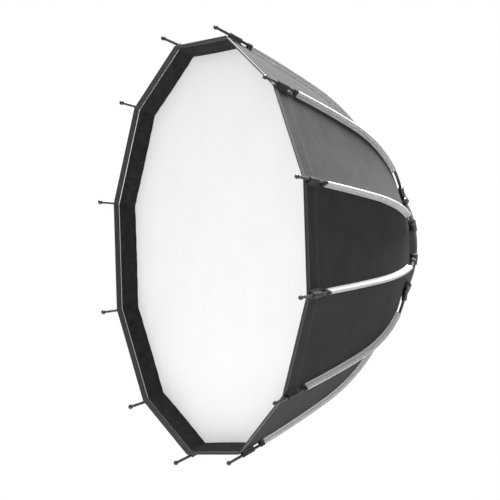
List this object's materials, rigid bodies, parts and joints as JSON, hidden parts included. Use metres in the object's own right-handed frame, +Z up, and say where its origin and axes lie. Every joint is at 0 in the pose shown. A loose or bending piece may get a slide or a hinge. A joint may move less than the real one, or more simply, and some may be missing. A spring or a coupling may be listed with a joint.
{
  "type": "folding softbox",
  "caption": "Folding deep softbox with curved hinged ribs, a gored cloth shell, a recessed front diffuser and a rear bayonet ring.",
  "frame": {"origin": "centre of the light passage in the plane of the bayonet ring's rear face, which meets the lamp", "axes": "the light leaves along -Y through the front diffuser, +Y points to the lamp, +Z is up, and +X is the right side seen from behind the lamp"},
  "size_m": [0.5996, 0.3242, 0.5996],
  "materials": {
    "cast_ring": "bead-blasted, natural",
    "hub_black": "satin black powder coat",
    "hinge_block": "glass-filled nylon, black",
    "steel": "bright zinc",
    "rib_rod": "black spring steel, plastic ball cap",
    "woven_tape": "silver-grey woven tape",
    "shell_cloth": "black coated nylon outside, silver lining",
    "binding": "black woven binding, stitched",
    "hook_tape": "black hook tape",
    "diffuser_cloth": "white translucent polyester"
  },
  "bodies": {
    "hub": {"bayonet_ring": "cast_ring", "rear_plate": "hub_black", "hub_housing": "hub_black", "clamp_ring": "hub_black", "hinge_pins": "steel", "leaf_springs": "steel", "screws": "steel", "gore_01": "shell_cloth", "gore_02": "shell_cloth", "gore_03": "shell_cloth", "gore_04": "shell_cloth", "gore_05": "shell_cloth", "gore_06": "shell_cloth", "gore_07": "shell_cloth", "gore_08": "shell_cloth", "gore_09": "shell_cloth", "gore_10": "shell_cloth", "gore_11": "shell_cloth", "gore_12": "shell_cloth", "rim_binding": "binding", "hook_tape": "hook_tape", "tip_pockets": "binding", "front_diffuser": "diffuser_cloth"},
    "rib_01": {"rod_01": "rib_rod", "knuckle_01": "hinge_block", "sleeve_01": "woven_tape"},
    "rib_02": {"rod_02": "rib_rod", "knuckle_02": "hinge_block", "sleeve_02": "woven_tape"},
    "rib_03": {"rod_03": "rib_rod", "knuckle_03": "hinge_block", "sleeve_03": "woven_tape"},
    "rib_04": {"rod_04": "rib_rod", "knuckle_04": "hinge_block", "sleeve_04": "woven_tape"},
    "rib_05": {"rod_05": "rib_rod", "knuckle_05": "hinge_block", "sleeve_05": "woven_tape"},
    "rib_06": {"rod_06": "rib_rod", "knuckle_06": "hinge_block", "sleeve_06": "woven_tape"},
    "rib_07": {"rod_07": "rib_rod", "knuckle_07": "hinge_block", "sleeve_07": "woven_tape"},
    "rib_08": {"rod_08": "rib_rod", "knuckle_08": "hinge_block", "sleeve_08": "woven_tape"},
    "rib_09": {"rod_09": "rib_rod", "knuckle_09": "hinge_block", "sleeve_09": "woven_tape"},
    "rib_10": {"rod_10": "rib_rod", "knuckle_10": "hinge_block", "sleeve_10": "woven_tape"},
    "rib_11": {"rod_11": "rib_rod", "knuckle_11": "hinge_block", "sleeve_11": "woven_tape"},
    "rib_12": {"rod_12": "rib_rod", "knuckle_12": "hinge_block", "sleeve_12": "woven_tape"}
  },
  "joints": [
    {"name": "rib_01_fold", "type": "hinge", "parent": "hub", "child": "rib_01", "pos_m": [0.085, -0.015, 0.02278], "axis": [0.2588, 0, -0.9659], "range_deg": [0, 40], "deforming": ["gore_01", "gore_02", "gore_03", "gore_04", "gore_05", "gore_06", "gore_07", "gore_08", "gore_09", "gore_10", "gore_11", "gore_12", "rim_binding", "hook_tape", "tip_pockets", "front_diffuser", "leaf_springs"]},
    {"name": "rib_02_fold", "type": "hinge", "parent": "hub", "child": "rib_02", "pos_m": [0.06223, -0.015, 0.06223], "axis": [0.7071, 0, -0.7071], "range_deg": [0, 40]},
    {"name": "rib_03_fold", "type": "hinge", "parent": "hub", "child": "rib_03", "pos_m": [0.02278, -0.015, 0.085], "axis": [0.9659, 0, -0.2588], "range_deg": [0, 40]},
    {"name": "rib_04_fold", "type": "hinge", "parent": "hub", "child": "rib_04", "pos_m": [-0.02278, -0.015, 0.085], "axis": [0.9659, 0, 0.2588], "range_deg": [0, 40]},
    {"name": "rib_05_fold", "type": "hinge", "parent": "hub", "child": "rib_05", "pos_m": [-0.06223, -0.015, 0.06223], "axis": [0.7071, 0, 0.7071], "range_deg": [0, 40]},
    {"name": "rib_06_fold", "type": "hinge", "parent": "hub", "child": "rib_06", "pos_m": [-0.085, -0.015, 0.02278], "axis": [0.2588, 0, 0.9659], "range_deg": [0, 40]},
    {"name": "rib_07_fold", "type": "hinge", "parent": "hub", "child": "rib_07", "pos_m": [-0.085, -0.015, -0.02278], "axis": [-0.2588, 0, 0.9659], "range_deg": [0, 40]},
    {"name": "rib_08_fold", "type": "hinge", "parent": "hub", "child": "rib_08", "pos_m": [-0.06223, -0.015, -0.06223], "axis": [-0.7071, 0, 0.7071], "range_deg": [0, 40]},
    {"name": "rib_09_fold", "type": "hinge", "parent": "hub", "child": "rib_09", "pos_m": [-0.02278, -0.015, -0.085], "axis": [-0.9659, 0, 0.2588], "range_deg": [0, 40]},
    {"name": "rib_10_fold", "type": "hinge", "parent": "hub", "child": "rib_10", "pos_m": [0.02278, -0.015, -0.085], "axis": [-0.9659, 0, -0.2588], "range_deg": [0, 40]},
    {"name": "rib_11_fold", "type": "hinge", "parent": "hub", "child": "rib_11", "pos_m": [0.06223, -0.015, -0.06223], "axis": [-0.7071, 0, -0.7071], "range_deg": [0, 40]},
    {"name": "rib_12_fold", "type": "hinge", "parent": "hub", "child": "rib_12", "pos_m": [0.085, -0.015, -0.02278], "axis": [-0.2588, 0, -0.9659], "range_deg": [0, 40]}
  ],
  "couplings": [
    {"joint": "rib_02_fold", "follows": "rib_01_fold", "ratio": 1},
    {"joint": "rib_03_fold", "follows": "rib_01_fold", "ratio": 1},
    {"joint": "rib_04_fold", "follows": "rib_01_fold", "ratio": 1},
    {"joint": "rib_05_fold", "follows": "rib_01_fold", "ratio": 1},
    {"joint": "rib_06_fold", "follows": "rib_01_fold", "ratio": 1},
    {"joint": "rib_07_fold", "follows": "rib_01_fold", "ratio": 1},
    {"joint": "rib_08_fold", "follows": "rib_01_fold", "ratio": 1},
    {"joint": "rib_09_fold", "follows": "rib_01_fold", "ratio": 1},
    {"joint": "rib_10_fold", "follows": "rib_01_fold", "ratio": 1},
    {"joint": "rib_11_fold", "follows": "rib_01_fold", "ratio": 1},
    {"joint": "rib_12_fold", "follows": "rib_01_fold", "ratio": 1}
  ]
}
